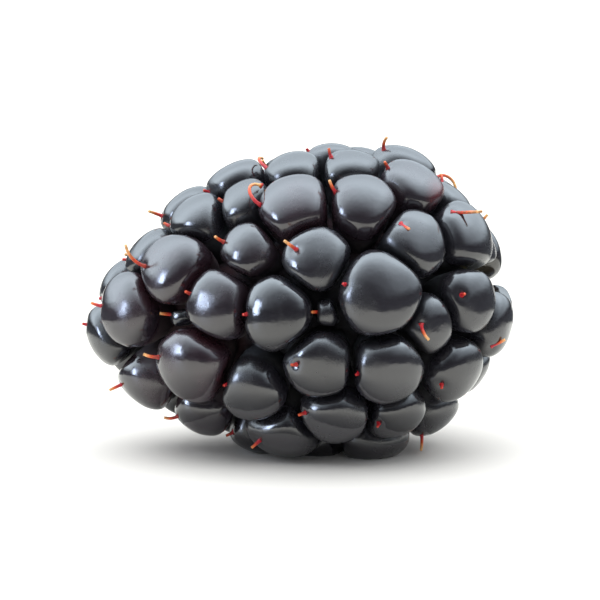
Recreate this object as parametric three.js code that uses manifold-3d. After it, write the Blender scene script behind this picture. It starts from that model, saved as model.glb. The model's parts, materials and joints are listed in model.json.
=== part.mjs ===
// A picked bramble berry lying on its side: plump drupelets packed round a pale receptacle,
// whose broken end shows at the bottom of the dimple where the stem was.
// Millimetres, +Z up. The berry's tip points to -X, its stem end to +X and its face to -Y.
// The origin is on the surface that it lies on, under the middle of the berry.
import * as THREE from "three";
import { mergeVertices } from "three/addons/utils/BufferGeometryUtils.js";
import Module from "manifold-3d";

const { clamp, degToRad } = THREE.MathUtils;

// Driving dimensions
const berry = {
  length: 28.5, // tip to stem end, over the drupelets
  width: 20.9, // across its middle, over the drupelets
  taper: 0.28, // how much fuller its stem half is than its tip half
  pointed: 1.25, // how much its ends narrow: 1 is an egg's
  rimAngle: degToRad(161), // where the drupelets stop: 0 at the tip, 180 at the stem
  lean: degToRad(6.3), // how far the stem end is raised from lying level
  facing: degToRad(5), // how far its face looks up
  faceAhead: 1.2, // how far the face's middle is from the berry's, toward the stem
  faceHeight: 0.1, // above the layer at which the face is seen, in how far one stands out
  faceTop: 0.92, // how high up its side the face goes: 1 is the ridge
  pressedFlat: 0.6, // off the lowest drupelets, where it lies on them
};
const drupelet = {
  radius: 1.95, // of a common one, where it meets its neighbours
  sizes: [0.84, 1.12], // smallest and largest common ones, in that radius
  crown: 0.98, // how far one stands out of the layer, in its own radii
  rootDepth: 3, // how far one reaches in from the layer
  proud: 0.45, // how much further out a large one sits, for its extra radius
  unevenness: 0.3, // how much their seats differ in height
  plumpness: 1.2, // its free width, over the width that its neighbours leave it
  fullness: 2.3, // how square its shoulders are: 2 is an egg's
  firmness: 7, // how sharply it is pressed flat against a neighbour
  slit: 0.12, // between one and the next
  pressRange: 1.7, // how near a neighbour has to be to press on it, in their radii
  leastHalf: 0.4, // of its radius, left on a side that a larger neighbour presses
  sides: 8,
  rings: 6,
};
const packing = {
  seed: 15,
  places: 108, // all over the layer, if none were taken by the face
  room: 0.6, // how near the face's drupelets another may start, in their radii
  faceTurn: 0.35, // minus the cosine of the turn where the face ends; no others start on it
  rounds: 300,
  closeness: 0.9, // how near two of them settle, in their radii
  push: 0.5, // how much of an overlap is cleared in a round
  give: 0.08, // how easily a drupelet of the face moves, beside another's 1
  swelling: 0.02, // in one round, where it has room
  squeeze: 0.5, // sum of its overlaps, in its own radii, at which it stops swelling
  growth: [0.9, 1.12], // least and most, by which one shrinks or swells
};
const flesh = { depth: 1.6, floorDrop: 0.4, sides: 14, rings: 10 }; // under the layer
const dimple = { radius: 1.75, depth: 2.5 }; // where the stem was
const receptacle = {
  endRadius: 1.4, // at its broken end
  waist: 2, // radius at its thickest
  length: 7,
  nose: 2.6, // length of its round inner end
  noseSteps: 4,
  dish: 0.5, // depth of the hollow in its broken end
  sides: 18,
  gap: 0.3, // to its socket
};

// The drupelets of the berry's face, as seen from its front: how far each is along from
// the middle, how far up, and its radius
const face = [
  [2.6, 10.6, 1.8], [0.6, 9.3, 1.9], [6.5, 9.3, 2.1], [-4.4, 7.7, 1.7], [-0.9, 6.8, 2.1],
  [3.9, 7.1, 2.0], [-6.3, 6.1, 1.9], [9.2, 5.9, 2.1], [-10.9, 4.4, 1.8], [6.6, 4.3, 1.9],
  [-3.8, 3.9, 1.6], [0.5, 3.5, 1.9], [-9.0, 2.8, 2.1], [11.3, 3.5, 1.5], [4.1, 1.7, 2.4],
  [-6.1, 1.4, 2.0], [-2.3, 0, 2.1], [10.5, 1.0, 1.9], [-12.5, -0.1, 2.0], [7.6, -0.4, 1.6],
  [1.0, -0.1, 0.9], [-8.7, -0.6, 0.8], [12.3, -0.8, 1.9], [-7.1, -3.2, 2.2], [0.2, -3.2, 2.0],
  [5.0, -3.4, 2.1], [9.2, -3.8, 1.9], [-11.3, -4.4, 2.0], [-3.8, -5.4, 1.9], [11.2, -4.8, 1.7],
  [1.2, -6.6, 2.0], [-7.7, -6.8, 2.0], [4.8, -7.0, 1.8], [7.3, -7.3, 1.9], [-3.5, -8.4, 1.9],
  [1.0, -8.9, 1.9],
];

// The layer is the egg-shaped surface that the drupelets' middles lie on. A place on it is
// an angle, from 0 at the tip to 180 degrees at the stem, and a turn about the axis.
const standOut = drupelet.crown * drupelet.radius;
const rimStandOut = 0.9 * standOut; // along the berry, as the rim's drupelets splay
const layer = {
  radius: berry.width / 2 - standOut,
  halfLength: (berry.length - standOut - rimStandOut) / (1 - Math.cos(berry.rimAngle)),
};
const tipEnd = -layer.halfLength - standOut;
const stemEnd = -layer.halfLength * Math.cos(berry.rimAngle) + rimStandOut;
const brokenEnd = stemEnd - dimple.depth;

function layerPoint({ angle, turn }) {
  const fullness = 1 - berry.taper * Math.cos(angle);
  const radius = layer.radius * fullness * Math.sin(angle) ** berry.pointed;
  const along = -layer.halfLength * Math.cos(angle);
  return new THREE.Vector3(along, radius * Math.cos(turn), radius * Math.sin(turn));
}

function layerNormal({ angle, turn }) {
  const sine = Math.max(Math.sin(angle), 0.01);
  const cosine = Math.cos(angle);
  const widening = berry.pointed * cosine * (1 - berry.taper * cosine);
  const swelling = berry.taper * sine ** 2;
  const slope = layer.radius * (widening + swelling) * sine ** (berry.pointed - 1);
  const rise = layer.halfLength * sine;
  return new THREE.Vector3(-slope, rise * Math.cos(turn), rise * Math.sin(turn)).normalize();
}

function layerPlace(point) {
  const along = -point.x / layer.halfLength;
  const fullness = 1 - berry.taper * clamp(along, -1, 1);
  const across = Math.hypot(point.y, point.z) / (layer.radius * fullness);
  return {
    angle: Math.min(Math.atan2(across ** (1 / berry.pointed), along), berry.rimAngle),
    turn: Math.atan2(point.z, point.y),
  };
}

// The place on the layer under a point of the berry's face, seen from its front
function facePlace(x, z) {
  const middle = (tipEnd + stemEnd) / 2 + berry.faceAhead;
  const along = x * Math.cos(berry.lean) + z * Math.sin(berry.lean) + middle;
  const up = z * Math.cos(berry.lean) - x * Math.sin(berry.lean);
  const height = berry.faceHeight * standOut;
  const angle = Math.acos(clamp(-along / (layer.halfLength + height), -0.96, 0.96));
  const fullness = Math.sin(angle) ** berry.pointed * (1 - berry.taper * Math.cos(angle));
  const rise = Math.asin(clamp(up / ((layer.radius + height) * fullness), -1, berry.faceTop));
  return { angle: Math.min(angle, berry.rimAngle), turn: Math.PI - rise - berry.facing };
}

// Repeatable random numbers from 0 to 1
function makeRandom(seed) {
  let state = seed;
  return () => {
    state = (state * 1664525 + 1013904223) % 4294967296;
    return state / 4294967296;
  };
}

// The face's drupelets first, and then the others, on a spiral, wherever there is room
function sproutDrupelets() {
  const drupelets = face.map(([x, z, radius]) => ({
    centre: layerPoint(facePlace(x, z)),
    radius,
    swell: 1,
    give: packing.give,
  }));
  const random = makeRandom(packing.seed);
  const goldenTurn = Math.PI * (3 - Math.sqrt(5));
  for (let i = 0; i < packing.places; i++) {
    const share = (i + 0.5) / packing.places;
    const angle = Math.acos(1 - share * (1 - Math.cos(berry.rimAngle)));
    const turn = i * goldenTurn;
    const centre = layerPoint({ angle, turn });
    const radius = drupelet.radius * THREE.MathUtils.lerp(...drupelet.sizes, random());
    const onFace = Math.cos(turn) < -packing.faceTurn;
    const crowded = drupelets.slice(0, face.length).some((one) => {
      return one.centre.distanceTo(centre) < packing.room * (one.radius + radius);
    });
    if (!onFace && !crowded) drupelets.push({ centre, radius, swell: 1, give: 1 });
  }
  for (const one of drupelets) {
    one.lift = drupelet.proud * (one.radius - drupelet.radius);
    one.lift += drupelet.unevenness * (random() - 0.5);
  }
  return drupelets;
}

// They swell and push each other apart over the layer until they fill it
function packDrupelets(drupelets) {
  const [smallest, largest] = packing.growth;
  for (let round = 0; round < packing.rounds; round++) {
    for (const one of drupelets) {
      one.move = new THREE.Vector3();
      one.squeeze = 0;
    }
    drupelets.forEach((one, i) => {
      for (const other of drupelets.slice(0, i)) {
        const apart = one.centre.clone().sub(other.centre);
        const both = one.radius * one.swell + other.radius * other.swell;
        const overlap = packing.closeness * both - apart.length();
        if (overlap <= 0) continue;
        apart.setLength((packing.push * overlap) / (one.give + other.give));
        one.move.addScaledVector(apart, one.give);
        other.move.addScaledVector(apart, -other.give);
        one.squeeze += overlap / one.radius;
        other.squeeze += overlap / other.radius;
      }
    });
    for (const one of drupelets) {
      one.centre = layerPoint(layerPlace(one.centre.add(one.move)));
      one.swell += packing.swelling * one.give * (packing.squeeze - one.squeeze);
      one.swell = clamp(one.swell, smallest, largest);
    }
  }
  for (const one of drupelets) one.radius *= one.swell;
}

// Each gets its own axes: out of the berry, round it, and along it toward the tip
function seatDrupelets(drupelets) {
  for (const one of drupelets) {
    const place = layerPlace(one.centre);
    one.out = layerNormal(place);
    one.round = new THREE.Vector3(0, -Math.sin(place.turn), Math.cos(place.turn));
    one.tipward = new THREE.Vector3().crossVectors(one.round, one.out);
    one.seat = one.centre.clone().addScaledVector(one.out, one.lift);
  }
}

// What presses on it: the middle plane to each neighbour, and the edge of the dimple. Each
// is a direction divided by how far away the wall is.
function findWalls(one, drupelets) {
  const walls = [];
  for (const other of drupelets) {
    const direction = other.seat.clone().sub(one.seat);
    const distance = direction.length();
    const pressing = distance < drupelet.pressRange * (one.radius + other.radius);
    if (other === one || !pressing) continue;
    const share = (one.radius ** 2 - other.radius ** 2) / (2 * distance);
    const toWall = Math.max(distance / 2 + share, drupelet.leastHalf * one.radius);
    walls.push(direction.setLength(1 / (toWall - drupelet.slit / 2)));
  }
  const toDimple = Math.hypot(one.seat.y, one.seat.z) - dimple.radius;
  if (one.seat.x > 0 && toDimple < 2 * one.radius) {
    walls.push(new THREE.Vector3(0, -one.seat.y, -one.seat.z).setLength(1 / toDimple));
  }
  return walls;
}

// From its middle to its skin: a plump egg, pressed in softly where it meets its walls
function reach(one, direction) {
  const outward = direction.dot(one.out);
  const height = outward > 0 ? drupelet.crown * one.radius : drupelet.rootDepth;
  const sideways = Math.sqrt(Math.max(0, 1 - outward ** 2));
  const across = sideways / (drupelet.plumpness * one.radius);
  const rounded = Math.abs(outward / height) ** drupelet.fullness + across ** drupelet.fullness;
  let sum = rounded ** (drupelet.firmness / drupelet.fullness);
  for (const wall of one.walls) {
    sum += Math.max(0, direction.dot(wall)) ** drupelet.firmness;
  }
  return sum ** (-1 / drupelet.firmness);
}

function drupeletGeometry(one) {
  const geometry = new THREE.SphereGeometry(1, drupelet.sides, drupelet.rings);
  geometry.applyMatrix4(new THREE.Matrix4().makeBasis(one.round, one.out, one.tipward));
  const position = geometry.getAttribute("position");
  const point = new THREE.Vector3();
  for (let i = 0; i < position.count; i++) {
    point.fromBufferAttribute(position, i).normalize();
    point.multiplyScalar(reach(one, point)).add(one.seat);
    position.setXYZ(i, point.x, point.y, point.z);
  }
  return geometry;
}

// A profile of [along the berry, radius] points, turned about the berry's axis
function turned(profile, sides) {
  const points = profile.map(([along, radius]) => new THREE.Vector2(radius, along));
  return new THREE.LatheGeometry(points, sides).rotateZ(-Math.PI / 2);
}

// The flesh under the drupelets, with a flat floor to the dimple
function fleshGeometry() {
  const profile = [];
  for (let i = 0; i <= flesh.rings; i++) {
    const place = { angle: (berry.rimAngle * i) / flesh.rings, turn: 0 };
    const point = layerPoint(place).addScaledVector(layerNormal(place), -flesh.depth);
    profile.push([point.x, i && point.y]);
  }
  const floor = brokenEnd - flesh.floorDrop;
  profile.push([floor, dimple.radius], [floor, 0]);
  return turned(profile, flesh.sides);
}

// The receptacle's side, from its round inner end to its broken end, grown by a gap
function receptacleSide(grown) {
  const inner = brokenEnd - receptacle.length - grown;
  const side = [];
  for (let i = 0; i <= receptacle.noseSteps; i++) {
    const angle = (Math.PI / 2) * (i / receptacle.noseSteps);
    const along = inner + (receptacle.nose + grown) * (1 - Math.cos(angle));
    side.push([along, i && (receptacle.waist + grown) * Math.sin(angle)]);
  }
  side.push([brokenEnd, receptacle.endRadius + grown]);
  return side;
}

function receptacleGeometry() {
  const hollow = [
    [brokenEnd - 0.7 * receptacle.dish, 0.65 * receptacle.endRadius],
    [brokenEnd - receptacle.dish, 0],
  ];
  return turned([...receptacleSide(0), ...hollow], receptacle.sides);
}

// Its socket runs straight out through the dimple
function socketGeometry() {
  const outside = berry.length;
  const way = [[outside, receptacle.endRadius + receptacle.gap], [outside, 0]];
  return turned([...receptacleSide(receptacle.gap), ...way], receptacle.sides);
}

const wasm = await Module();
wasm.setup();

function toSolid(geometry) {
  const bare = geometry.clone().deleteAttribute("normal").deleteAttribute("uv");
  const merged = mergeVertices(bare, 1e-4);
  return new wasm.Manifold(
    new wasm.Mesh({
      numProp: 3,
      vertProperties: merged.getAttribute("position").array,
      triVerts: new Uint32Array(merged.index.array),
    }),
  );
}

function toGeometry(solid) {
  const mesh = solid.getMesh();
  return new THREE.BufferGeometry()
    .setAttribute("position", new THREE.BufferAttribute(mesh.vertProperties, 3))
    .setIndex(new THREE.BufferAttribute(mesh.triVerts, 1));
}

function growDrupelets() {
  const drupelets = sproutDrupelets();
  packDrupelets(drupelets);
  seatDrupelets(drupelets);
  for (const one of drupelets) one.walls = findWalls(one, drupelets);
  return drupelets;
}

// All the drupelets on their flesh, with the dimple and the socket cut into them
function fruitSolid() {
  let solid = toSolid(fleshGeometry());
  for (const one of growDrupelets()) solid = solid.add(toSolid(drupeletGeometry(one)));
  return solid.subtract(toSolid(socketGeometry()));
}

// Lies the berry down with its stem end raised, and presses it flat where it touches
function lieDown(fruit, core) {
  const lean = new THREE.Matrix4().makeRotationY(-berry.lean).toArray();
  const leaning = [fruit.transform(lean), core.transform(lean)];
  const box = leaning[0].boundingBox();
  const middleOf = (axis) => -(box.min[axis] + box.max[axis]) / 2;
  const move = [middleOf(0), middleOf(1), -box.min[2] - berry.pressedFlat];
  const below = new THREE.BoxGeometry(2 * berry.length, 2 * berry.length, 10).translate(0, 0, -5);
  return leaning.map((solid) => solid.translate(move).subtract(toSolid(below)));
}

const [fruit, core] = lieDown(fruitSolid(), toSolid(receptacleGeometry()));
const skin = new THREE.MeshStandardMaterial({ color: 0x14121a, roughness: 0.2 });
const pith = new THREE.MeshStandardMaterial({ color: 0xcfc68a, roughness: 0.75 });

const drupeletHead = new THREE.Mesh(toGeometry(fruit), skin);
drupeletHead.name = "drupelets";
const receptacleEnd = new THREE.Mesh(toGeometry(core), pith);
receptacleEnd.name = "receptacle";

const brambleBerry = new THREE.Group();
brambleBerry.add(drupeletHead, receptacleEnd);
export default brambleBerry;
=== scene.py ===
import bmesh
import bpy
import json
import math
import numpy as np
from mathutils import Matrix, Vector

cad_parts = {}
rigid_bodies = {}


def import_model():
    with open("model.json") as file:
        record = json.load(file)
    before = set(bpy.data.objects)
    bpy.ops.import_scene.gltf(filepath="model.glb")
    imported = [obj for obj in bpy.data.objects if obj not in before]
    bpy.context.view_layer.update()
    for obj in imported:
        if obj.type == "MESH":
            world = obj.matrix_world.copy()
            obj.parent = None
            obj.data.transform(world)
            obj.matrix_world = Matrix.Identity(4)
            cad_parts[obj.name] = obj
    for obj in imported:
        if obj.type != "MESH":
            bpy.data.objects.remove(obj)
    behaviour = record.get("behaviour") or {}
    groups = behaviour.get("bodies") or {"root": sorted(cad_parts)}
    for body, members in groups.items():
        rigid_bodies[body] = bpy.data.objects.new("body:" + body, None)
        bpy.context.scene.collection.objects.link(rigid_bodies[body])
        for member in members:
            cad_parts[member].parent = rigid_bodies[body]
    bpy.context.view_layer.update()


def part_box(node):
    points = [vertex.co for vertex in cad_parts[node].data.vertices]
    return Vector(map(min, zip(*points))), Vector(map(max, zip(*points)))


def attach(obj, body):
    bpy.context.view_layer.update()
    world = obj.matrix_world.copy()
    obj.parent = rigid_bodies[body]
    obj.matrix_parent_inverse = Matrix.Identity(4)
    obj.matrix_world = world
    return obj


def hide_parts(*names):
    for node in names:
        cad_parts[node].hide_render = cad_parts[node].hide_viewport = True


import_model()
print("frame loaded")

mm = 0.001

# The packing rule works in millimetres, on the berry's own axes: tip to -X, stem end to +X
berry = {
    "length": 28.5,
    "width": 20.9,
    "taper": 0.28,  # how much fuller the stem half is
    "pointed": 1.25,
    "rimAngle": math.radians(161),  # where the drupelets stop: 0 at the tip
    "lean": math.radians(6.3),
    "facing": math.radians(5),
    "faceHeight": 0.1,
    "faceTop": 0.92,
    "faceAhead": 1.2,  # how far the middle of its face lies towards the stem
    "faceEnds": 0.96,  # how near the face comes to the ends, as a cosine
    "rimRise": 0.9,  # how far the stem end's drupelets stand out, of what the others do
}
drupelet = {
    "radius": 1.95,
    "sizes": (0.84, 1.12),
    "crown": 0.98,  # how far one stands out, in its own radii
    "rootDepth": 3.0,
    "proud": 0.45,
    "unevenness": 0.3,
    "plumpness": 1.2,
    "filling": 1.25,  # radius from which one fills the room that its neighbours leave
    "fullness": 2.2,
    "firmness": 8,  # how sharply it is pressed flat against a neighbour
    "slit": 0.26,
    "pressRange": 1.7,
    "leastHalf": 0.4,
    "fineness": 4,  # subdivisions of its icosphere
    "outBias": 0.45,  # crowds its points towards the crown
    "waves": 4,  # slow ones in its skin
    "waveCount": 4.5,
    "waveHeight": 0.06,
}
packing = {
    "seed": 15,
    "places": 108,
    "room": 0.6,
    "faceTurn": 0.35,  # minus the cosine of the turn where the face ends; no others start on it
    "rounds": 300,
    "closeness": 0.9,  # of two drupelets' middles, in their radii
    "push": 0.5,
    "give": 0.08,
    "swelling": 0.02,
    "squeeze": 0.5,
    "growth": (0.9, 1.12),
}
# The drupelets of the berry's face: along from the middle, up, and radius
face = [
    (2.6, 10.6, 1.8), (0.6, 9.3, 1.9), (6.5, 9.3, 2.1), (-4.4, 7.7, 1.7), (-0.9, 6.8, 2.1),
    (3.9, 7.1, 2.0), (-6.3, 6.1, 1.9), (9.2, 5.9, 2.1), (-10.9, 4.4, 1.8), (6.6, 4.3, 1.9),
    (-3.8, 3.9, 1.6), (0.5, 3.5, 1.9), (-9.0, 2.8, 2.1), (11.3, 3.5, 1.5), (4.1, 1.7, 2.4),
    (-6.1, 1.4, 2.0), (-2.3, 0, 2.1), (10.5, 1.0, 1.9), (-12.5, -0.1, 2.0), (7.6, -0.4, 1.6),
    (1.0, -0.1, 0.9), (-8.7, -0.6, 0.8), (12.3, -0.8, 1.9), (-7.1, -3.2, 2.2), (0.2, -3.2, 2.0),
    (5.0, -3.4, 2.1), (9.2, -3.8, 1.9), (-11.3, -4.4, 2.0), (-3.8, -5.4, 1.9), (11.2, -4.8, 1.7),
    (1.2, -6.6, 2.0), (-7.7, -6.8, 2.0), (4.8, -7.0, 1.8), (7.3, -7.3, 1.9), (-3.5, -8.4, 1.9),
    (1.0, -8.9, 1.9),
]
flesh = {
    "depth": 2.2,
    "floorDrop": 0.4,
    "steps": 96,
    "rings": 24,
    "tears": (2, 3, 5, 8, 13, 19),  # waves round the edge of the dimple's floor
    "tornReach": 2.0,
    "ragged": 0.35,
    "wider": 0.6,
}
dimple = {"radius": 1.75, "depth": 2.5}

standOut = drupelet["crown"] * drupelet["radius"]
rimStandOut = berry["rimRise"] * standOut
layerRadius = berry["width"] / 2 - standOut
halfLength = (berry["length"] - standOut - rimStandOut) / (1 - math.cos(berry["rimAngle"]))
tipEnd = -halfLength - standOut
stemEnd = -halfLength * math.cos(berry["rimAngle"]) + rimStandOut
brokenEnd = stemEnd - dimple["depth"]


def layerPoint(angle, turn):
    fullness = 1 - berry["taper"] * np.cos(angle)
    radius = layerRadius * fullness * np.sin(angle) ** berry["pointed"]
    return np.stack([-halfLength * np.cos(angle), radius * np.cos(turn), radius * np.sin(turn)], axis=-1)


def layerNormal(angle, turn):
    sine, cosine = np.maximum(np.sin(angle), 0.01), np.cos(angle)
    ending = berry["pointed"] * cosine * (1 - berry["taper"] * cosine) + berry["taper"] * sine ** 2
    slope = layerRadius * ending * sine ** (berry["pointed"] - 1)
    rise = halfLength * sine
    normal = np.stack([-slope, rise * np.cos(turn), rise * np.sin(turn)], axis=-1)
    return normal / np.linalg.norm(normal, axis=-1, keepdims=True)


def layerPlace(points):
    along = -points[:, 0] / halfLength
    fullness = 1 - berry["taper"] * np.clip(along, -1, 1)
    across = np.hypot(points[:, 1], points[:, 2]) / (layerRadius * fullness)
    angle = np.minimum(np.arctan2(across ** (1 / berry["pointed"]), along), berry["rimAngle"])
    return angle, np.arctan2(points[:, 2], points[:, 1])


def facePlace(x, z):
    lean = berry["lean"]
    along = x * math.cos(lean) + z * math.sin(lean) + berry["faceAhead"] + (tipEnd + stemEnd) / 2
    up = z * math.cos(lean) - x * math.sin(lean)
    seen = berry["faceHeight"] * standOut
    angle = math.acos(min(max(-along / (halfLength + seen), -berry["faceEnds"]), berry["faceEnds"]))
    fullness = math.sin(angle) ** berry["pointed"] * (1 - berry["taper"] * math.cos(angle))
    rise = math.asin(min(max(up / ((layerRadius + seen) * fullness), -1), berry["faceTop"]))
    return min(angle, berry["rimAngle"]), math.pi - rise - berry["facing"]


def randomNumbers(seed):
    state = seed
    while True:
        state = (state * 1664525 + 1013904223) % 4294967296
        yield state / 4294967296


def sproutDrupelets():
    centres = [layerPoint(*facePlace(x, z)) for x, z, radius in face]
    radii = [radius for x, z, radius in face]
    draw = randomNumbers(packing["seed"])
    smallest, largest = drupelet["sizes"]
    for i in range(packing["places"]):
        share = (i + 0.5) / packing["places"]
        angle = math.acos(1 - share * (1 - math.cos(berry["rimAngle"])))
        turn = i * math.pi * (3 - math.sqrt(5))
        centre = layerPoint(angle, turn)
        radius = drupelet["radius"] * (smallest + (largest - smallest) * next(draw))
        onFace = math.cos(turn) < -packing["faceTurn"]
        gaps = [np.linalg.norm(centres[j] - centre) / (radii[j] + radius) for j in range(len(face))]
        crowded = min(gaps) < packing["room"]
        if not onFace and not crowded:
            centres.append(centre)
            radii.append(radius)
    radii = np.array(radii)
    lifts = drupelet["proud"] * (radii - drupelet["radius"])
    lifts += drupelet["unevenness"] * (np.array([next(draw) for radius in radii]) - 0.5)
    return np.array(centres), radii, lifts


# They swell and push each other apart over the layer until they fill it
def packDrupelets(centres, radii):
    count = len(radii)
    give = np.where(np.arange(count) < len(face), packing["give"], 1.0)
    swell = np.ones(count)
    for turn in range(packing["rounds"]):
        apart = centres[:, None] - centres[None]
        distance = np.linalg.norm(apart, axis=-1)
        np.fill_diagonal(distance, 1000)
        size = packing["closeness"] * radii * swell
        overlap = np.maximum(size[:, None] + size[None] - distance, 0)
        push = packing["push"] * overlap / (give[:, None] + give[None]) * give[:, None]
        moved = centres + np.sum(apart * (push / distance)[..., None], axis=1)
        squeeze = np.sum(overlap, axis=1) / radii
        centres = layerPoint(*layerPlace(moved))
        swell = swell + packing["swelling"] * give * (packing["squeeze"] - squeeze)
        swell = np.clip(swell, *packing["growth"])
    return centres, radii * swell


centres, sproutRadii, lifts = sproutDrupelets()
centres, radii = packDrupelets(centres, sproutRadii)
places = layerPlace(centres)
outward = layerNormal(*places)
roundward = np.stack([0 * places[1], -np.sin(places[1]), np.cos(places[1])], axis=-1)
tipward = np.cross(roundward, outward)
seats = centres + outward * lifts[:, None]
print("packed", len(radii), "drupelets")


# What presses on a drupelet: each row is a direction divided by how far away the wall is
def wallsOf(i):
    walls = []
    for j in range(len(radii)):
        direction = seats[j] - seats[i]
        distance = np.linalg.norm(direction)
        if j == i or distance >= drupelet["pressRange"] * (radii[i] + radii[j]):
            continue
        share = (radii[i] ** 2 - radii[j] ** 2) / (2 * distance)
        toWall = max(distance / 2 + share, drupelet["leastHalf"] * radii[i]) - drupelet["slit"] / 2
        walls.append(direction / (distance * toWall))
    toAxis = math.hypot(seats[i][1], seats[i][2])
    toDimple = toAxis - dimple["radius"]
    if seats[i][0] > 0 and toDimple < 2 * radii[i]:
        walls.append(np.array([0, -seats[i][1], -seats[i][2]]) / (toAxis * toDimple))
    return np.array(walls)


walls = [wallsOf(i) for i in range(len(radii))]


# How far each drupelet reaches in each direction; the smallest are rounder than their room
def reach(i, directions):
    rise = directions @ outward[i]
    height = np.where(rise > 0, drupelet["crown"] * radii[i], drupelet["rootDepth"])
    width = drupelet["plumpness"] * radii[i] * min(1, radii[i] / drupelet["filling"])
    sideways = np.sqrt(np.maximum(0, 1 - rise ** 2)) / width
    fullness = drupelet["fullness"]
    egg = (np.abs(rise / height) ** fullness + sideways ** fullness) ** (1 / fullness)
    pressed = np.maximum(0, directions @ walls[i].T)
    firmness = drupelet["firmness"]
    return (egg ** firmness + np.sum(pressed ** firmness, axis=1)) ** (-1 / firmness)


receptacle = {
    "endRadius": 1.4,
    "waist": 2.0,
    "length": 7.0,
    "nose": 2.6,
    "cadSteps": 4,
    "fit": 0.02,  # gap to the flesh around it
    "steps": 144,
    "rings": 30,  # along its side
    "noseRings": 12,
    "rim": 0.2,  # width of the torn rim round its hollow
    "dish": 1.15,  # depth of the hollow
    "dishCurve": 2.5,
    "dishRings": 16,
    "tears": (1, 2, 3, 5, 8, 13, 21),  # waves round the torn rim
    "tornReach": 1.1,  # how far down they go
    "ragged": 0.75,
    "tallest": 0.4,
    "uneven": 0.3,  # how far the rim bends in
    "sinks": 0.1,
    "fibres": (11, 19, 29),
    "fibreDepth": 0.09,
    "fibreRise": 0.6,
    "fibreBend": (0.1, 4),  # how much they bend, and how often on their way in
    "darkens": 0.75,  # how far in its hollow the painted shade is full, as a share
}


def receptacleSide(grown, steps):
    inner = brokenEnd - receptacle["length"] - grown
    side = []
    for i in range(steps + 1):
        angle = math.pi / 2 * i / steps
        along = inner + (receptacle["nose"] + grown) * (1 - math.cos(angle))
        side.append((along, (receptacle["waist"] + grown) * math.sin(angle)))
    return side + [(brokenEnd, receptacle["endRadius"] + grown)]


# Where the berry lies, by the receptacle that the frame holds
def findRest():
    cosine, sine = math.cos(berry["lean"]), math.sin(berry["lean"])
    side = receptacleSide(0, receptacle["cadSteps"])
    ups = [x * sine + r * cosine for x, r in side] + [x * sine - r * cosine for x, r in side]
    alongs = [x * cosine + r * sine for x, r in side] + [x * cosine - r * sine for x, r in side]
    middle = Vector((max(alongs) + min(alongs), 0, max(ups) + min(ups))) / 2
    low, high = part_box("receptacle")
    move = (low + high) / 2 - middle * mm
    return Matrix.Translation(move) @ Matrix.Rotation(-berry["lean"], 4, "Y") @ Matrix.Scale(mm, 4)


rest = findRest()
restTurn = np.array(rest.to_3x3())
restMove = np.array(rest.translation)
worldOut = outward @ restTurn.T / mm


def toWorld(points):
    return np.asarray(points) @ restTurn.T + restMove


def smoothStep(low, high, values):
    share = np.clip((values - low) / (high - low), 0, 1)
    return share * share * (3 - 2 * share)


def newPiece(name, bm):
    mesh = bpy.data.meshes.new(name)
    bm.to_mesh(mesh)
    bm.free()
    mesh.shade_smooth()
    piece = bpy.data.objects.new(name, mesh)
    bpy.context.scene.collection.objects.link(piece)
    return piece


# A value for each point, that the piece's material reads
def giveAttribute(piece, name, values):
    attribute = piece.data.attributes.new(name, "FLOAT", "POINT")
    attribute.data.foreach_set("value", np.asarray(values, dtype=np.float32))


# The dried styles, one to a drupelet, most of them broken short
styles = {
    "leaves": math.radians(50),  # from straight out of its drupelet, towards the tip
    "droop": math.radians(16),
    "stray": 0.5,  # how much each differs from that
    # Share, shortest, longest and most curl in degrees
    "kinds": ((0.35, 0.08, 0.35, 30), (0.4, 0.6, 1.2, 90), (0.25, 1.3, 2.4, 190)),
    "leastCurl": 0.15,  # of the most
    "straightest": 0.05,  # curl of a straight one, so that it has an arc to follow
    # Those of the face, in its order: length and curl in degrees
    "face": (
        (0.5, 30), (1.9, 130), (0.45, 20), (0.4, 20), (2.8, 185), (0.8, 30), (0.5, 30), (1.9, 15), (0.3, 20),
        (0.6, 20), (0.7, 40), (1.1, 15), (2.1, 60), (0.9, 20), (0.15, 5), (0.35, 20), (0.2, 5), (0.3, 20),
        (0.6, 20), (1.0, 40), (0.8, 10), (0.8, 10), (0.8, 30), (0.9, 40), (0.3, 20), (0.15, 5), (0.2, 5),
        (0.8, 10), (0.2, 10), (0.2, 10), (0.4, 20), (0.8, 60), (0.2, 5), (1.0, 30), (0.4, 30), (1.4, 60),
    ),
    "hooks": {1: 0.75, 4: 0.75},  # which way these curl, in turns
    # Where a few of them point instead of to the tip
    "headings": {
        7: (1, -0.25, 0.05), 9: (0.5, -0.8, -0.3), 13: (0.4, -0.2, 0.9), 19: (0.1, -0.4, -1),
        22: (0.9, -0.3, 0.3), 33: (0.1, -0.3, -1), 35: (0.1, -0.3, -1),
    },
    "missing": 0.06,
    "attempts": 8,  # from there to straight out, until no neighbour covers its root
    "room": 0.25,
    "rootRadius": 0.125,
    "tipRadius": 0.095,
    "leansOut": 0.25,  # how much of its way is that of its drupelet
    "sunk": 0.25,
    "flare": 0.7,  # how much thicker its root is, and over what length
    "flareLength": 0.35,
    "fades": 0.9,  # length over which it fades from red to tan, or over its own if longer
    "sides": 8,
    "steps": 12,
    "clear": 0.15,  # above the floor
    "seed": 77,
}
pit = {"depth": 0.16, "width": 0.16, "gather": 0.6, "gatherWidth": 0.55}  # where each style stands


# Whether a neighbour covers the place where a style would stand
def isCovered(i, way):
    root = seats[i] + way * reach(i, way[None])[0]
    for j in range(len(radii)):
        toRoot = root - seats[j]
        distance = np.linalg.norm(toRoot)
        if j != i and distance < reach(j, toRoot[None] / distance)[0] + styles["room"]:
            return True
    return False


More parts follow.
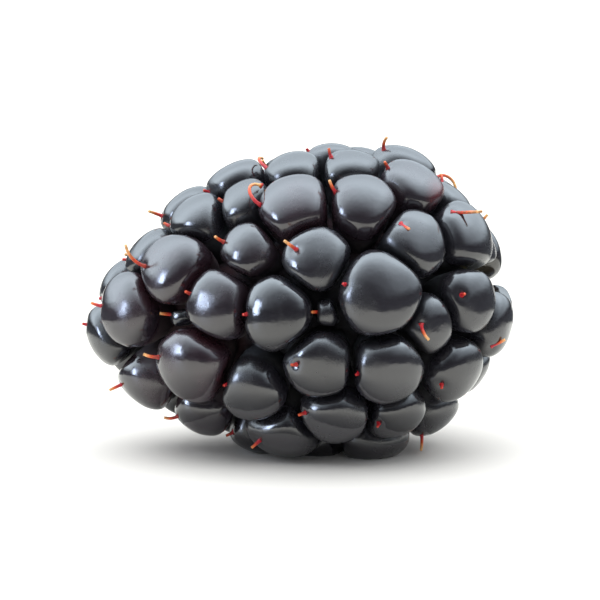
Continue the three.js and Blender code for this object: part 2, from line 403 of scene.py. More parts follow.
# Which way each style leaves its drupelet
def findStyleWays():
    ways = []
    draw = randomNumbers(styles["seed"])
    for i in range(len(radii)):
        leaves = styles["leaves"] + styles["stray"] * (next(draw) - 0.5)
        turn = styles["droop"] * (1 if outward[i][1] < 0 else -1) + styles["stray"] * (next(draw) - 0.5)
        ahead = tipward[i] * math.cos(turn) - roundward[i] * math.sin(turn)
        way = outward[i]
        for attempt in range(styles["attempts"]):
            angle = leaves * (1 - attempt / styles["attempts"])
            way = outward[i] * math.cos(angle) + ahead * math.sin(angle)
            if not isCovered(i, way):
                break
        ways.append(way)
    return np.array(ways)


styleWays = findStyleWays()


# One drupelet, with most of its points on the side that shows
def drupeletBody(i):
    bm = bmesh.new()
    bmesh.ops.create_icosphere(bm, subdivisions=drupelet["fineness"], radius=1)
    bm.verts.ensure_lookup_table()
    local = np.array([vert.co for vert in bm.verts])
    axes = np.stack([tipward[i], roundward[i], outward[i]])
    directions = local @ axes + drupelet["outBias"] * outward[i]
    directions /= np.linalg.norm(directions, axis=1, keepdims=True)
    toStyle = styleWays[i] - directions
    pull = pit["gather"] * np.exp(-np.sum(toStyle ** 2, axis=1) / pit["gatherWidth"] ** 2)
    directions += toStyle * pull[:, None]
    directions /= np.linalg.norm(directions, axis=1, keepdims=True)
    fromStyle = np.sum((styleWays[i] - directions) ** 2, axis=1)
    distances = reach(i, directions) + wobble(i, directions)
    distances -= pit["depth"] * np.exp(-fromStyle / pit["width"] ** 2)
    points = toWorld(seats[i] + directions * distances[:, None])
    points[:, 2] = np.maximum(points[:, 2], 0)
    for vert, point in zip(bm.verts, points):
        vert.co = point
    bm.normal_update()
    bmesh.ops.recalc_face_normals(bm, faces=bm.faces)
    return newPiece(f"drupelet.{i}", bm)


# Slow waves in its skin, different on each
def wobble(i, directions):
    draw = randomNumbers(packing["seed"] + 31 * i)
    total = np.zeros(len(directions))
    for wave in range(drupelet["waves"]):
        way = np.array([2 * next(draw) - 1 for axis in range(3)])
        way *= drupelet["waveCount"] / np.linalg.norm(way)
        total += np.sin(directions @ way + 2 * math.pi * next(draw))
    return drupelet["waveHeight"] * total / drupelet["waves"]


# A profile of (along, radius) turned about the berry's axis
def turnProfile(profile, steps):
    bm = bmesh.new()
    line = [bm.verts.new((along, radius, 0)) for along, radius in profile]
    edges = [bm.edges.new(pair) for pair in zip(line, line[1:])]
    bmesh.ops.spin(
        bm, geom=line + edges, cent=(0, 0, 0), axis=(1, 0, 0), angle=2 * math.pi,
        steps=steps, use_merge=True
    )
    bmesh.ops.remove_doubles(bm, verts=bm.verts, dist=0.001)
    bmesh.ops.recalc_face_normals(bm, faces=bm.faces)
    return bm


# Lays a shape made on the berry's axes where the berry lies, its vertices moved first if they are given
def layDown(name, bm, points=()):
    for vert, point in zip(bm.verts, points):
        vert.co = point
    bmesh.ops.transform(bm, matrix=rest, verts=bm.verts)
    return newPiece(name, bm)


# Where the vertices of such a shape are, with their turns and distances from the axis
def measure(bm):
    points = np.array([vert.co for vert in bm.verts])
    return points, np.arctan2(points[:, 2], points[:, 1]), np.hypot(points[:, 1], points[:, 2])


# Irregular waves round a turn, from about -1 to 1
def tornWaves(counts, turns, seed):
    draw = randomNumbers(packing["seed"] + seed)
    total = np.zeros(len(turns))
    for count in counts:
        total += np.sin(count * turns + 2 * math.pi * next(draw) + np.sin(2 * turns + 6 * next(draw)))
    return total / math.sqrt(2 * len(counts))


def fleshBody():
    profile = []
    for i in range(flesh["rings"] + 1):
        angle = berry["rimAngle"] * i / flesh["rings"]
        along, radius, side = layerPoint(angle, 0) - layerNormal(angle, 0) * flesh["depth"]
        profile.append((along, radius if i else 0))
    floor = brokenEnd - flesh["floorDrop"]
    profile += [(floor, dimple["radius"]), (floor, 0)]
    bm = turnProfile(profile, flesh["steps"])
    points, turns, out = measure(bm)
    nearFloor = smoothStep(brokenEnd - flesh["tornReach"], brokenEnd, points[:, 0])
    nearFloor *= np.clip(out / dimple["radius"], 0, 1)
    wider = tornWaves(flesh["tears"], turns, 3) + flesh["wider"]
    outer = 1 + flesh["ragged"] * nearFloor * wider / np.maximum(out, 1)
    points[:, 1:] *= outer[:, None]
    points[:, 0] += flesh["ragged"] * nearFloor * tornWaves(flesh["tears"], turns, 4)
    return layDown("drupeletHead", bm, points)


# Cuts or joins closed shapes, and leaves a plain mesh
def combine(piece, operation, other):
    change = piece.modifiers.new("combine", "BOOLEAN")
    change.operation = operation
    change.solver = "MANIFOLD"
    if isinstance(other, bpy.types.Collection):
        change.operand_type = "COLLECTION"
        change.collection = other
    else:
        change.object = other
    shape = bpy.data.meshes.new_from_object(piece.evaluated_get(bpy.context.evaluated_depsgraph_get()))
    piece.modifiers.clear()
    piece.data = shape


bodies = bpy.data.collections.new("bodies")
for i in range(len(radii)):
    body = drupeletBody(i)
    bpy.context.scene.collection.objects.unlink(body)
    bodies.objects.link(body)
head = fleshBody()
combine(head, "UNION", bodies)
way = [(berry["length"], receptacle["endRadius"] + receptacle["fit"]), (berry["length"], 0)]
hollow = receptacleSide(receptacle["fit"], flesh["rings"]) + way
socket = layDown("socket", turnProfile(hollow, receptacle["steps"]))
combine(head, "DIFFERENCE", socket)
for body in list(bodies.objects) + [socket]:
    bpy.data.objects.remove(body)
bpy.data.collections.remove(bodies)
print("drupelets joined:", len(head.data.polygons), "faces")


skinLook = {
    # Drupelets of the face that are not quite black
    "purple": {23: 0.5, 27: 0.4, 18: 0.4, 31: 0.25, 12: 0.4, 4: 0.35, 15: 0.2, 5: 0.25, 2: 0.2, 10: 0.2},
    "blushed": {2: (0.3, (1, -0.35, 0.1))},  # amount, and to which side
    "blushReach": (0.75, 1.15),
    "paleFloor": (-0.6, 1.1),  # of the dimple, out from the receptacle
    "paleDepth": (-1.5, -0.6),  # and up to its broken end
    "creviceGap": (0.02, 0.42),  # where a crevice begins and ends, for its painted shade, by how near the next drupelet is
    "creviceRise": (-0.35, 0.1),  # and by how far up on its own one a point is
    "deepRise": (-0.5, 0),
}


# How deep in a crevice each point is, which sets the painted shade and roughness there, and how its own
# drupelet is coloured
def paintDrupelets(piece):
    points = np.empty(3 * len(piece.data.vertices))
    piece.data.vertices.foreach_get("co", points)
    points = points.reshape(-1, 3)
    worldSeats = toWorld(seats)
    nearness = np.linalg.norm(points[:, None] - worldSeats[None], axis=-1) / (radii * mm)
    order = np.argsort(nearness, axis=1)
    rows = np.arange(len(points))
    owner = order[:, 0]
    between = nearness[rows, order[:, 1]] - nearness[rows, owner]
    offset = points - worldSeats[owner]
    rise = np.sum(offset * worldOut[owner], axis=1) / (drupelet["crown"] * radii[owner] * mm)
    draw = randomNumbers(packing["seed"] + 1000)
    tones = np.array([next(draw) for i in range(len(radii))])
    ripeness = np.zeros(len(radii))
    for i, amount in skinLook["purple"].items():
        ripeness[i] = amount
    blushes = np.zeros(len(points))
    for i, (amount, way) in skinLook["blushed"].items():
        toward = offset @ (np.array(way) / np.linalg.norm(way)) / (radii[i] * mm)
        blushes += np.where(owner == i, amount * smoothStep(*skinLook["blushReach"], toward), 0)
    clear = smoothStep(*skinLook["creviceGap"], between) * smoothStep(*skinLook["creviceRise"], rise)
    giveAttribute(piece, "shadedCrevice", 1 - clear)
    giveAttribute(piece, "deep", 1 - smoothStep(*skinLook["deepRise"], rise))
    giveAttribute(piece, "tone", tones[owner])
    giveAttribute(piece, "purple", ripeness[owner])
    giveAttribute(piece, "blush", blushes)
    onAxes = (points - restMove) @ np.linalg.inv(restTurn).T
    fromPlug = np.hypot(onAxes[:, 1], onAxes[:, 2]) - receptacle["endRadius"]
    inDimple = smoothStep(*skinLook["paleDepth"], onAxes[:, 0] - brokenEnd)
    giveAttribute(piece, "pale", inDimple * (1 - smoothStep(*skinLook["paleFloor"], fromPlug)))


paintDrupelets(head)
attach(head, "root")
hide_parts("drupelets")


# The receptacle's broken end: a plug with a torn rim and a hollow, fibrous face
def receptacleBody():
    radius = receptacle["endRadius"]
    inside = radius - receptacle["rim"]
    profile = receptacleSide(0, receptacle["noseRings"])[:-1]
    widest = Vector(profile[-1])
    for i in range(1, receptacle["rings"] + 1):
        profile.append(tuple(widest.lerp((brokenEnd, radius), i / receptacle["rings"])))
    for i in range(receptacle["dishRings"] + 1):
        share = i / receptacle["dishRings"]
        down = receptacle["dish"] * (1 - (1 - share) ** receptacle["dishCurve"])
        profile.append((brokenEnd - down, inside * (1 - share)))
    bm = turnProfile(profile, receptacle["steps"])
    points, turns, out = measure(bm)
    inHollow = (out < inside + 0.001) & (points[:, 0] > brokenEnd - receptacle["dish"] - 0.001)
    down = np.where(inHollow, inside - out, brokenEnd - points[:, 0])
    nearRim = np.clip(1 - down / receptacle["tornReach"], 0, 1) ** 2
    torn = tornWaves(receptacle["tears"], turns, 7)
    bend, often = receptacle["fibreBend"]
    strand = tornWaves(receptacle["fibres"], turns + bend * np.sin(often * out), 8)
    strand *= np.clip(out / inside, 0, 1)
    shreds = receptacle["ragged"] * np.minimum(torn, receptacle["tallest"])
    points[:, 0] += nearRim * (shreds - receptacle["sinks"])
    points[:, 0] += np.where(inHollow, receptacle["fibreDepth"] * strand, 0)
    between = receptacle["fibreDepth"] * np.minimum(strand - receptacle["fibreRise"], 0)
    thinner = np.where(inHollow, 0, between)
    thinner -= receptacle["uneven"] * nearRim * (1 + tornWaves(receptacle["tears"][:4], turns, 9)) / 2
    points[:, 1:] *= (1 + np.minimum(thinner, 0) / np.maximum(out, 0.3))[:, None]
    plug = layDown("receptacleEnd", bm, points)
    # Painted shade, darker towards the bottom of the hollow
    hollowShade = smoothStep(0, receptacle["darkens"], 1 - out / inside)
    giveAttribute(plug, "hollow", np.where(inHollow, hollowShade, 0))
    giveAttribute(plug, "strand", strand)
    return plug


plug = receptacleBody()
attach(plug, "root")
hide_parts("receptacle")
print("receptacle:", len(plug.data.polygons), "faces")


def styleLength(i, draw):
    pick, share, curl, side = next(draw), next(draw), next(draw), next(draw)
    if i < len(face):
        length, degrees = styles["face"][i]
        return length, math.radians(degrees), styles["hooks"].get(i, side)
    if pick < styles["missing"]:
        return 0, 0, side
    pick = (pick - styles["missing"]) / (1 - styles["missing"])
    for part, shortest, longest, degrees in styles["kinds"]:
        if pick < part:
            break
        pick -= part
    curl = styles["leastCurl"] + (1 - styles["leastCurl"]) * curl
    return shortest + (longest - shortest) * share, math.radians(degrees) * curl, side


# One style along an arc that starts at the origin, going up Z and curling towards X
def styleArc(length, curl):
    bm = bmesh.new()
    radius = styles["rootRadius"]
    bmesh.ops.create_circle(bm, cap_ends=True, cap_tris=False, segments=styles["sides"], radius=radius)
    curl = max(curl, styles["straightest"])
    bend = length / curl
    centre = Vector((bend, 0, 0))
    start = list(bm.faces) + list(bm.edges) + list(bm.verts)
    bmesh.ops.spin(
        bm, geom=start, cent=centre, axis=(0, 1, 0), angle=curl, steps=styles["steps"], use_duplicate=False
    )
    bm.verts.layers.float.new("tone")
    layer = bm.verts.layers.float.new("along")
    for vert in bm.verts:
        offset = vert.co - centre
        angle = math.atan2(offset.z, -offset.x)
        along = min(max(angle / curl, 0), 1)
        line = centre + Vector((-math.cos(angle), 0, math.sin(angle))) * bend
        taper = 1 + (styles["tipRadius"] / radius - 1) * along
        flare = 1 + styles["flare"] * max(0, 1 - along * length / styles["flareLength"]) ** 2
        vert.co = line + (vert.co - line) * taper * flare
        vert[layer] = max(0, along * length - styles["sunk"]) / max(length - styles["sunk"], styles["fades"])
    return bm


def growStyles():
    bm = bmesh.new()
    draw = randomNumbers(styles["seed"] + 1)
    for i in range(len(radii)):
        length, curl, side = styleLength(i, draw)
        if not length:
            continue
        way = styleWays[i]
        root = seats[i] + way * (reach(i, way[None])[0] - styles["sunk"])
        one = styleArc(length + styles["sunk"], curl)
        up = Vector(way * (1 - styles["leansOut"]) + outward[i] * styles["leansOut"]).normalized()
        if i in styles["headings"]:
            up = Vector(np.array(styles["headings"][i]) @ restTurn).normalized()
        side *= 2 * math.pi
        bendWay = Vector(tipward[i]) * math.cos(side) + Vector(roundward[i]) * math.sin(side)
        bendWay = (bendWay - up * bendWay.dot(up)).normalized()
        frameOf = Matrix((bendWay, up.cross(bendWay), up)).transposed().to_4x4()
        place = rest @ Matrix.Translation(Vector(root)) @ frameOf
        bmesh.ops.transform(one, matrix=place, verts=one.verts)
        lowest = min(vert.co.z for vert in one.verts)
        if lowest < styles["clear"] * mm:
            one.free()
            continue
        tone = next(draw)
        toneLayer = one.verts.layers.float["tone"]
        for vert in one.verts:
            vert[toneLayer] = tone
        mesh = bpy.data.meshes.new("style")
        one.to_mesh(mesh)
        one.free()
        bm.from_mesh(mesh)
        bpy.data.meshes.remove(mesh)
    bmesh.ops.recalc_face_normals(bm, faces=bm.faces)
    return newPiece("driedStyles", bm)


hairs = growStyles()
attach(hairs, "root")
print("styles:", len(hairs.data.polygons), "faces")


# A soft patchiness in object space: how large its patches are, and where they begin and end
def makePatches():
    group = bpy.data.node_groups.new("softPatches", "ShaderNodeTree")
    for name, value in (("Size", 0.001), ("Low", 0.4), ("High", 0.6)):
        socket = group.interface.new_socket(name, in_out="INPUT", socket_type="NodeSocketFloat")
        socket.default_value = value
    group.interface.new_socket("Mask", in_out="OUTPUT", socket_type="NodeSocketFloat")
    nodes, links = group.nodes, group.links
    inputs, outputs = nodes.new("NodeGroupInput"), nodes.new("NodeGroupOutput")
    place = nodes.new("ShaderNodeTexCoord")
    scale = nodes.new("ShaderNodeMath")
    scale.operation = "DIVIDE"
    scale.inputs[0].default_value = 1
    noise = nodes.new("ShaderNodeTexNoise")
    noise.inputs["Detail"].default_value = 4
    ramp = nodes.new("ShaderNodeMapRange")
    ramp.interpolation_type = "SMOOTHSTEP"
    links.new(inputs.outputs["Size"], scale.inputs[1])
    links.new(place.outputs["Object"], noise.inputs["Vector"])
    links.new(scale.outputs[0], noise.inputs["Scale"])
    links.new(noise.outputs["Fac"], ramp.inputs["Value"])
    links.new(inputs.outputs["Low"], ramp.inputs["From Min"])
    links.new(inputs.outputs["High"], ramp.inputs["From Max"])
    links.new(ramp.outputs["Result"], outputs.inputs["Mask"])
    return group


# Small helpers that keep the materials short
def newMaterial(name):
    material = bpy.data.materials.new(name)
    material.use_nodes = True
    tree = material.node_tree
    return material, tree.nodes, tree.links, tree.nodes["Principled BSDF"]


def addPatches(nodes, size, low, high):
    patches = nodes.new("ShaderNodeGroup")
    patches.node_tree = patchesGroup
    patches.inputs["Size"].default_value = size * mm
    patches.inputs["Low"].default_value = low
    patches.inputs["High"].default_value = high
    return patches.outputs["Mask"]


def addAttribute(nodes, name):
    attribute = nodes.new("ShaderNodeAttribute")
    attribute.attribute_name = name
    return attribute.outputs["Fac"]


def addMath(nodes, links, operation, first, second, clamped=False):
    step = nodes.new("ShaderNodeMath")
    step.operation = operation
    step.use_clamp = clamped
    for socket, value in zip(step.inputs, (first, second)):
        if isinstance(value, (int, float)):
            socket.default_value = value
        else:
            links.new(value, socket)
    return step.outputs[0]


def addMix(nodes, links, share, first, second):
    mix = nodes.new("ShaderNodeMix")
    mix.data_type = "RGBA"
    links.new(share, mix.inputs["Factor"])
    for name, value in (("A", first), ("B", second)):
        socket = [s for s in mix.inputs if s.name == name and s.type == "RGBA"][0]
        if isinstance(value, tuple):
            socket.default_value = (*value, 1)
        else:
            links.new(value, socket)
    return [s for s in mix.outputs if s.type == "RGBA"][0]


def addRange(nodes, links, value, low, high):
    ramp = nodes.new("ShaderNodeMapRange")
    links.new(value, ramp.inputs["Value"])
    ramp.inputs["To Min"].default_value = low
    ramp.inputs["To Max"].default_value = high
    return ramp.outputs["Result"]


# A smooth change from low to high between two positions
def addFade(nodes, links, position, ends, low=0.0, high=1.0):
    fade = nodes.new("ShaderNodeMapRange")
    fade.interpolation_type = "SMOOTHSTEP"
    for name, value in zip(("From Min", "From Max", "To Min", "To Max"), (*ends, low, high)):
        fade.inputs[name].default_value = value
    links.new(position, fade.inputs["Value"])
    return fade.outputs["Result"]


def addBump(nodes, links, shader, height, distance, strength):
    bump = nodes.new("ShaderNodeBump")
    bump.inputs["Distance"].default_value = distance * mm
    bump.inputs["Strength"].default_value = strength
    links.new(height, bump.inputs["Height"])
    links.new(bump.outputs["Normal"], shader.inputs["Normal"])


patchesGroup = makePatches()

skinFinish = {
    "black": (0.013, 0.012, 0.016),
    "inky": (0.022, 0.021, 0.027),
    # Painted shade: the skin's colour in the crevices between drupelets
    "shadedCrevice": (0.010, 0.010, 0.014),
    "purple": (0.050, 0.022, 0.034),
    "rim": (0.060, 0.006, 0.010),  # painted translucency: dark red for light through the skin of a purple one, where it goes down into the crevice
    "red": (0.30, 0.020, 0.022),
    "pale": (0.055, 0.042, 0.010),  # where the drupelets grew from the receptacle
    "shine": (0.12, 0.26),  # roughness, from clear to hazed
    "speckRough": 0.05,
    "creviceRough": 0.12,
    "ior": 1.8,
    # Size in millimetres, and where the patches begin and end
    "haze": (2.2, 0.42, 0.62),
    "specks": (0.35, 0.52, 0.68),
    "pores": (0.16, 0.3, 0.7),
    "ripples": (0.9, 0.2, 0.8),
    "leastPurple": 0.45,
    "poreDepth": 0.10,
    "relief": (0.02, 0.6),
}


def makeSkin():
    material, nodes, links, shader = newMaterial("drupeletSkin")
    haze = addPatches(nodes, *skinFinish["haze"])
    specks = addPatches(nodes, *skinFinish["specks"])
    shadedCrevice = addAttribute(nodes, "shadedCrevice")
    ripeness = addAttribute(nodes, "purple")
    patchy = addRange(nodes, links, haze, skinFinish["leastPurple"], 1)
    purple = addMath(nodes, links, "MULTIPLY", ripeness, patchy)
    # The painted translucency shows on purple drupelets where they go down into a crevice
    rim = addMath(nodes, links, "MULTIPLY", shadedCrevice, ripeness)
    color = addMix(nodes, links, addAttribute(nodes, "tone"), skinFinish["black"], skinFinish["inky"])
    color = addMix(nodes, links, purple, color, skinFinish["purple"])
    color = addMix(nodes, links, addAttribute(nodes, "blush"), color, skinFinish["red"])
    # Painted shade, darker in the crevices
    color = addMix(nodes, links, shadedCrevice, color, skinFinish["shadedCrevice"])
    color = addMix(nodes, links, rim, color, skinFinish["rim"])
    color = addMix(nodes, links, addAttribute(nodes, "pale"), color, skinFinish["pale"])
    links.new(color, shader.inputs["Base Color"])
    rough = addRange(nodes, links, haze, *skinFinish["shine"])
    for part, most in ((specks, skinFinish["speckRough"]), (shadedCrevice, skinFinish["creviceRough"])):
        rough = addMath(nodes, links, "ADD", rough, addRange(nodes, links, part, 0, most))
    rough = addMath(nodes, links, "ADD", rough, addAttribute(nodes, "deep"))
    links.new(rough, shader.inputs["Roughness"])
    shader.inputs["IOR"].default_value = skinFinish["ior"]
    pores = addRange(nodes, links, addPatches(nodes, *skinFinish["pores"]), 0, skinFinish["poreDepth"])
    height = addMath(nodes, links, "ADD", pores, addPatches(nodes, *skinFinish["ripples"]))
    addBump(nodes, links, shader, height, *skinFinish["relief"])
    return material


pithFinish = {
    "pale": (0.84, 0.72, 0.28),
    "green": (0.58, 0.52, 0.10),
    "core": (0.24, 0.17, 0.02),  # painted shade at the bottom of its hollow
    "brown": (0.22, 0.11, 0.03),
    "roughness": (0.55, 0.85),
    "patches": (0.7, 0.4, 0.62),
    "bruises": (0.3, 0.58, 0.70),
    "bruised": 0.6,
    "grain": (0.12, 0.3, 0.7),
    "troughs": 0.5,  # how brown it is between the fibres
    "relief": (0.08, 0.8),
}


def makePith():
    material, nodes, links, shader = newMaterial("receptaclePith")
    patches = addPatches(nodes, *pithFinish["patches"])
    bruises = addPatches(nodes, *pithFinish["bruises"])
    grain = addPatches(nodes, *pithFinish["grain"])
    color = addMix(nodes, links, patches, pithFinish["pale"], pithFinish["green"])
    # Painted shade at the bottom of the hollow
    color = addMix(nodes, links, addAttribute(nodes, "hollow"), color, pithFinish["core"])
    troughs = addMath(nodes, links, "MULTIPLY", addAttribute(nodes, "strand"), -pithFinish["troughs"])
    for part in (troughs, addMath(nodes, links, "MULTIPLY", bruises, pithFinish["bruised"])):
        color = addMix(nodes, links, part, color, pithFinish["brown"])
    links.new(color, shader.inputs["Base Color"])
    links.new(addRange(nodes, links, grain, *pithFinish["roughness"]), shader.inputs["Roughness"])
    addBump(nodes, links, shader, grain, *pithFinish["relief"])
    return material


styleFinish = {
    "root": (0.52, 0.006, 0.022),
    "middle": (0.80, 0.10, 0.012),
    "tip": (0.95, 0.52, 0.20),
    "dry": (0.25, 0.08, 0.02),
    "lower": (0.12, 2.8),  # where it turns from the root's colour, and how fast
    "upper": (0.45, 2.4),  # and then to the tip's
    "grain": (0.2, 0.35, 0.65),
    "driest": 0.7,
    "roughness": 0.42,
    "relief": (0.02, 0.7),
}


def makeStyle():
    material, nodes, links, shader = newMaterial("driedStyle")
    along = addAttribute(nodes, "along")
    grain = addPatches(nodes, *styleFinish["grain"])
    color = styleFinish["root"]
    for part, after in (("lower", "middle"), ("upper", "tip")):
        place, speed = styleFinish[part]
        past = addMath(nodes, links, "SUBTRACT", along, place, clamped=True)
        turned = addMath(nodes, links, "MULTIPLY", past, speed, clamped=True)
        color = addMix(nodes, links, turned, color, styleFinish[after])
    dry = addRange(nodes, links, addAttribute(nodes, "tone"), 0, styleFinish["driest"])
    color = addMix(nodes, links, addMath(nodes, links, "MULTIPLY", grain, dry), color, styleFinish["dry"])
    links.new(color, shader.inputs["Base Color"])
    shader.inputs["Roughness"].default_value = styleFinish["roughness"]
    addBump(nodes, links, shader, grain, *styleFinish["relief"])
    return material


for piece, material in ((head, makeSkin()), (plug, makePith()), (hairs, makeStyle())):
    piece.data.materials.clear()
    piece.data.materials.append(material)
print("materials made")

sweepCard = {
    "reach": 0.6,
    "below": 0.00001,  # so that it doesn't cut the pressed drupelets
    "height": 0.7,
    "bend": 0.25,
    "steps": 16,
    "color": (0.88, 0.88, 0.88),
    "roughness": 0.45,
}


def makeSweep():
    bm = bmesh.new()
    bmesh.ops.create_grid(bm, x_segments=1, y_segments=1, size=sweepCard["reach"])
    bmesh.ops.translate(bm, verts=bm.verts, vec=(0, 0, -sweepCard["below"]))
    back = [edge for edge in bm.edges if all(vert.co.y > 0 for vert in edge.verts)]
    verts = list({vert for edge in back for vert in edge.verts})
    bend = sweepCard["bend"]
    turned = bmesh.ops.spin(
        bm, geom=verts + back, cent=(0, sweepCard["reach"], bend), axis=(1, 0, 0),
        angle=math.pi / 2, steps=sweepCard["steps"]
    )
    top = [item for item in turned["geom_last"] if isinstance(item, bmesh.types.BMEdge)]
    raised = bmesh.ops.extrude_edge_only(bm, edges=top)
    moved = [item for item in raised["geom"] if isinstance(item, bmesh.types.BMVert)]
    bmesh.ops.translate(bm, verts=moved, vec=(0, 0, sweepCard["height"]))
    bmesh.ops.remove_doubles(bm, verts=bm.verts, dist=0.0001)
    bmesh.ops.recalc_face_normals(bm, faces=bm.faces)
    return newPiece("sweep", bm)


def makePaper():
    material, nodes, links, shader = newMaterial("palePaper")
    shader.inputs["Base Color"].default_value = (*sweepCard["color"], 1)
    shader.inputs["Roughness"].default_value = sweepCard["roughness"]
    shader.inputs["Specular IOR Level"].default_value = 0
    return material


sweep = makeSweep()
sweep.data.materials.append(makePaper())


flagCard = {
    "profile": ((0.045, 0.0006), (0.30, 0.004), (0.33, 0.03)),  # out from the berry, and up
    "opening": math.radians(70),  # left open, straight behind it
    "steps": 48,
    "color": (0.01, 0.01, 0.012),
    "roughness": 0.9,
}


# Dark cards round the berry, seen only in its reflections
def makeFlags():
    bm = bmesh.new()
    start = (math.pi + flagCard["opening"]) / 2
    around = 2 * math.pi - flagCard["opening"]
    line = [bm.verts.new((r * math.cos(start), r * math.sin(start), z)) for r, z in flagCard["profile"]]
    edges = [bm.edges.new(pair) for pair in zip(line, line[1:])]
    bmesh.ops.spin(
        bm, geom=line + edges, cent=(0, 0, 0), axis=(0, 0, 1), angle=around, steps=flagCard["steps"]
    )
    flags = newPiece("flags", bm)
    material, nodes, links, shader = newMaterial("darkCard")
    shader.inputs["Base Color"].default_value = (*flagCard["color"], 1)
    shader.inputs["Roughness"].default_value = flagCard["roughness"]
    flags.data.materials.append(material)
    return flags


# A card's face that does nothing but glow; what it gives back is for the glow's own nodes
def makeGlow(card, name, color):
    material, nodes, links, shader = newMaterial(name)
    shader.inputs["Base Color"].default_value = (0, 0, 0, 1)
    shader.inputs["Emission Color"].default_value = (*color, 1)
    card.data.materials.append(material)
    place = nodes.new("ShaderNodeTexCoord").outputs["Object"]
    return nodes, links, place, shader.inputs["Emission Strength"]


def splitPlace(nodes, links, place):
    split = nodes.new("ShaderNodeSeparateXYZ")
    links.new(place, split.inputs[0])
    return split.outputs


windowCard = {
    "size": (0.095, 0.062),  # half its height and half its width
    "core": 0.4,  # how much of that is fully bright
    "place": (-0.25, -0.125, 0.05),
    "color": (0.64, 0.76, 1.0),
    "glow": 19,
}


# A window to the left, bright in its middle, that only the skin's reflections show
def makeWindow():
    bm = bmesh.new()
    bmesh.ops.create_grid(bm, x_segments=1, y_segments=1, size=1)
    bmesh.ops.scale(bm, verts=bm.verts, vec=(*windowCard["size"], 1))
    bmesh.ops.rotate(bm, verts=bm.verts, matrix=Matrix.Rotation(math.pi / 2, 3, "Y"))
    window = newPiece("windowFace", bm)
    window.location = windowCard["place"]
    nodes, links, place, strength = makeGlow(window, "windowPane", windowCard["color"])
    axes = splitPlace(nodes, links, place)
    glow = windowCard["glow"]
    for axis, half in zip(("Z", "Y"), windowCard["size"]):
        off = addMath(nodes, links, "ABSOLUTE", axes[axis], 0)
        fade = addFade(nodes, links, off, (half, half * windowCard["core"]))
        glow = addMath(nodes, links, "MULTIPLY", glow, fade)
    links.new(glow, strength)
    return window


domeCard = {
    "radius": 0.4,
    "segments": (48, 24),
    "glow": 5.5,
    "color": (0.78, 0.90, 1.0),
    # Along which axis it fades, from and to in its radii, and how much is left there
    "fades": (
        ("X", 0.98, 0.55, 0.35), ("Y", -1.0, 0.25, 0.0), ("Y", 1.0, 0.1, 0.3), ("Z", 0.06, 0.34, 0.0),
    ),
}


# A dome that only the skin's reflections show: bright overhead and behind, dark at the front and low down
def makeDome():
    bm = bmesh.new()
    radius = domeCard["radius"]
    around, up = domeCard["segments"]
    bmesh.ops.create_uvsphere(bm, u_segments=around, v_segments=up, radius=radius)
    below = [vert for vert in bm.verts if vert.co.z < -0.001]
    bmesh.ops.delete(bm, geom=below, context="VERTS")
    dome = newPiece("skyDome", bm)
    nodes, links, place, strength = makeGlow(dome, "domeCloth", domeCard["color"])
    axes = splitPlace(nodes, links, place)
    glow = domeCard["glow"]
    for axis, start, end, left in domeCard["fades"]:
        fade = addFade(nodes, links, axes[axis], (start * radius, end * radius), low=left)
        glow = addMath(nodes, links, "MULTIPLY", glow, fade)
    links.new(glow, strength)
    return dome


tableCard = {
    "reach": (0.009, 0.046),
    "height": 0.0004,
    "steps": 64,
    # Where the painted shadow under the berry fades into the glow
    "fade": (0.006, 0.020),
    "glow": 1.45,
    "color": (1.0, 1.0, 0.93),
}


# A glowing card that stands in for the table in the skin's reflections, with a painted shadow: dark under
# the berry
def makeTable():
    bm = bmesh.new()
    near, far = tableCard["reach"]
    line = [bm.verts.new((near, 0, 0)), bm.verts.new((far, 0, 0))]
    edges = [bm.edges.new(line)]
    bmesh.ops.spin(
        bm, geom=line + edges, cent=(0, 0, 0), axis=(0, 0, 1), angle=2 * math.pi,
        steps=tableCard["steps"], use_merge=True
    )
    table = newPiece("tableFace", bm)
    table.location.z = tableCard["height"]
    nodes, links, place, strength = makeGlow(table, "tableReflectionGlow", tableCard["color"])
    length = nodes.new("ShaderNodeVectorMath")
    length.operation = "LENGTH"
    links.new(place, length.inputs[0])
    glow = addFade(nodes, links, length.outputs["Value"], tableCard["fade"], high=tableCard["glow"])
    links.new(glow, strength)
    return table


for card in (makeFlags(), makeDome(), makeTable(), makeWindow()):
    card.visible_camera = False
    card.visible_diffuse = False
    card.visible_transmission = False
    card.visible_shadow = False


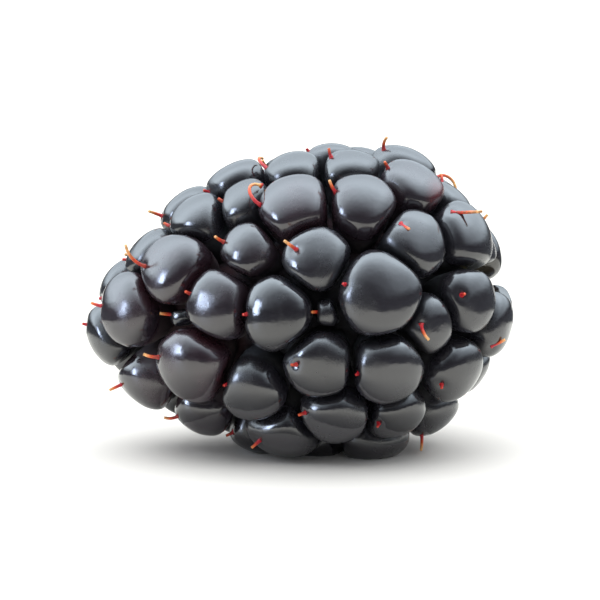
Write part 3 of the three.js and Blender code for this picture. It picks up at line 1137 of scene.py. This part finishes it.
lamps = {
    "softbox": {"size": (0.8, 0.8), "place": (0, 0, 0.42), "power": 3.9, "color": (1.0, 1.0, 0.96)},
    # A second one keeps the backdrop white
    "backBox": {"size": (1.2, 0.4), "place": (0, 0.65, 0.5), "power": 2.2, "color": (1.0, 1.0, 0.96)},
}
air = {"color": (1.0, 1.0, 1.0), "strength": 0.55, "seen": (1.0, 1.0, 1.0)}


def addLamp(name, size, place, power, color):
    lamp = bpy.data.lights.new(name, "AREA")
    lamp.shape = "RECTANGLE"
    lamp.size, lamp.size_y = size
    lamp.energy = power
    lamp.color = color
    holder = bpy.data.objects.new(name, lamp)
    holder.location = place
    holder.visible_camera = False
    holder.visible_glossy = False
    bpy.context.scene.collection.objects.link(holder)


for name, values in lamps.items():
    addLamp(name, **values)


# Even light all round, and plain white where the camera looks past the sweep
def makeAir():
    world = bpy.data.worlds.new("studioAir")
    bpy.context.scene.world = world
    world.use_nodes = True
    nodes, links = world.node_tree.nodes, world.node_tree.links
    fill = nodes["Background"]
    fill.inputs["Color"].default_value = (*air["color"], 1)
    fill.inputs["Strength"].default_value = air["strength"]
    seen = nodes.new("ShaderNodeBackground")
    seen.inputs["Color"].default_value = (*air["seen"], 1)
    path = nodes.new("ShaderNodeLightPath")
    pick = nodes.new("ShaderNodeMixShader")
    links.new(path.outputs["Is Camera Ray"], pick.inputs["Fac"])
    links.new(fill.outputs[0], pick.inputs[1])
    links.new(seen.outputs[0], pick.inputs[2])
    links.new(pick.outputs[0], nodes["World Output"].inputs["Surface"])


makeAir()

view = {
    "lens": 200,
    "distance": 0.225,
    "elevation": math.radians(8.5),
    "aim": (0.0, 0.0, 0.0102),
}


def addCamera():
    data = bpy.data.cameras.new("camera")
    data.lens = view["lens"]
    data.clip_start = 0.001
    camera = bpy.data.objects.new("camera", data)
    bpy.context.scene.collection.objects.link(camera)
    bpy.context.scene.camera = camera
    away = Vector((0, -math.cos(view["elevation"]), math.sin(view["elevation"])))
    camera.location = Vector(view["aim"]) + away * view["distance"]
    camera.rotation_euler = (math.pi / 2 - view["elevation"], 0, 0)


addCamera()
bpy.context.scene.view_settings.view_transform = "Standard"
print("studio ready")
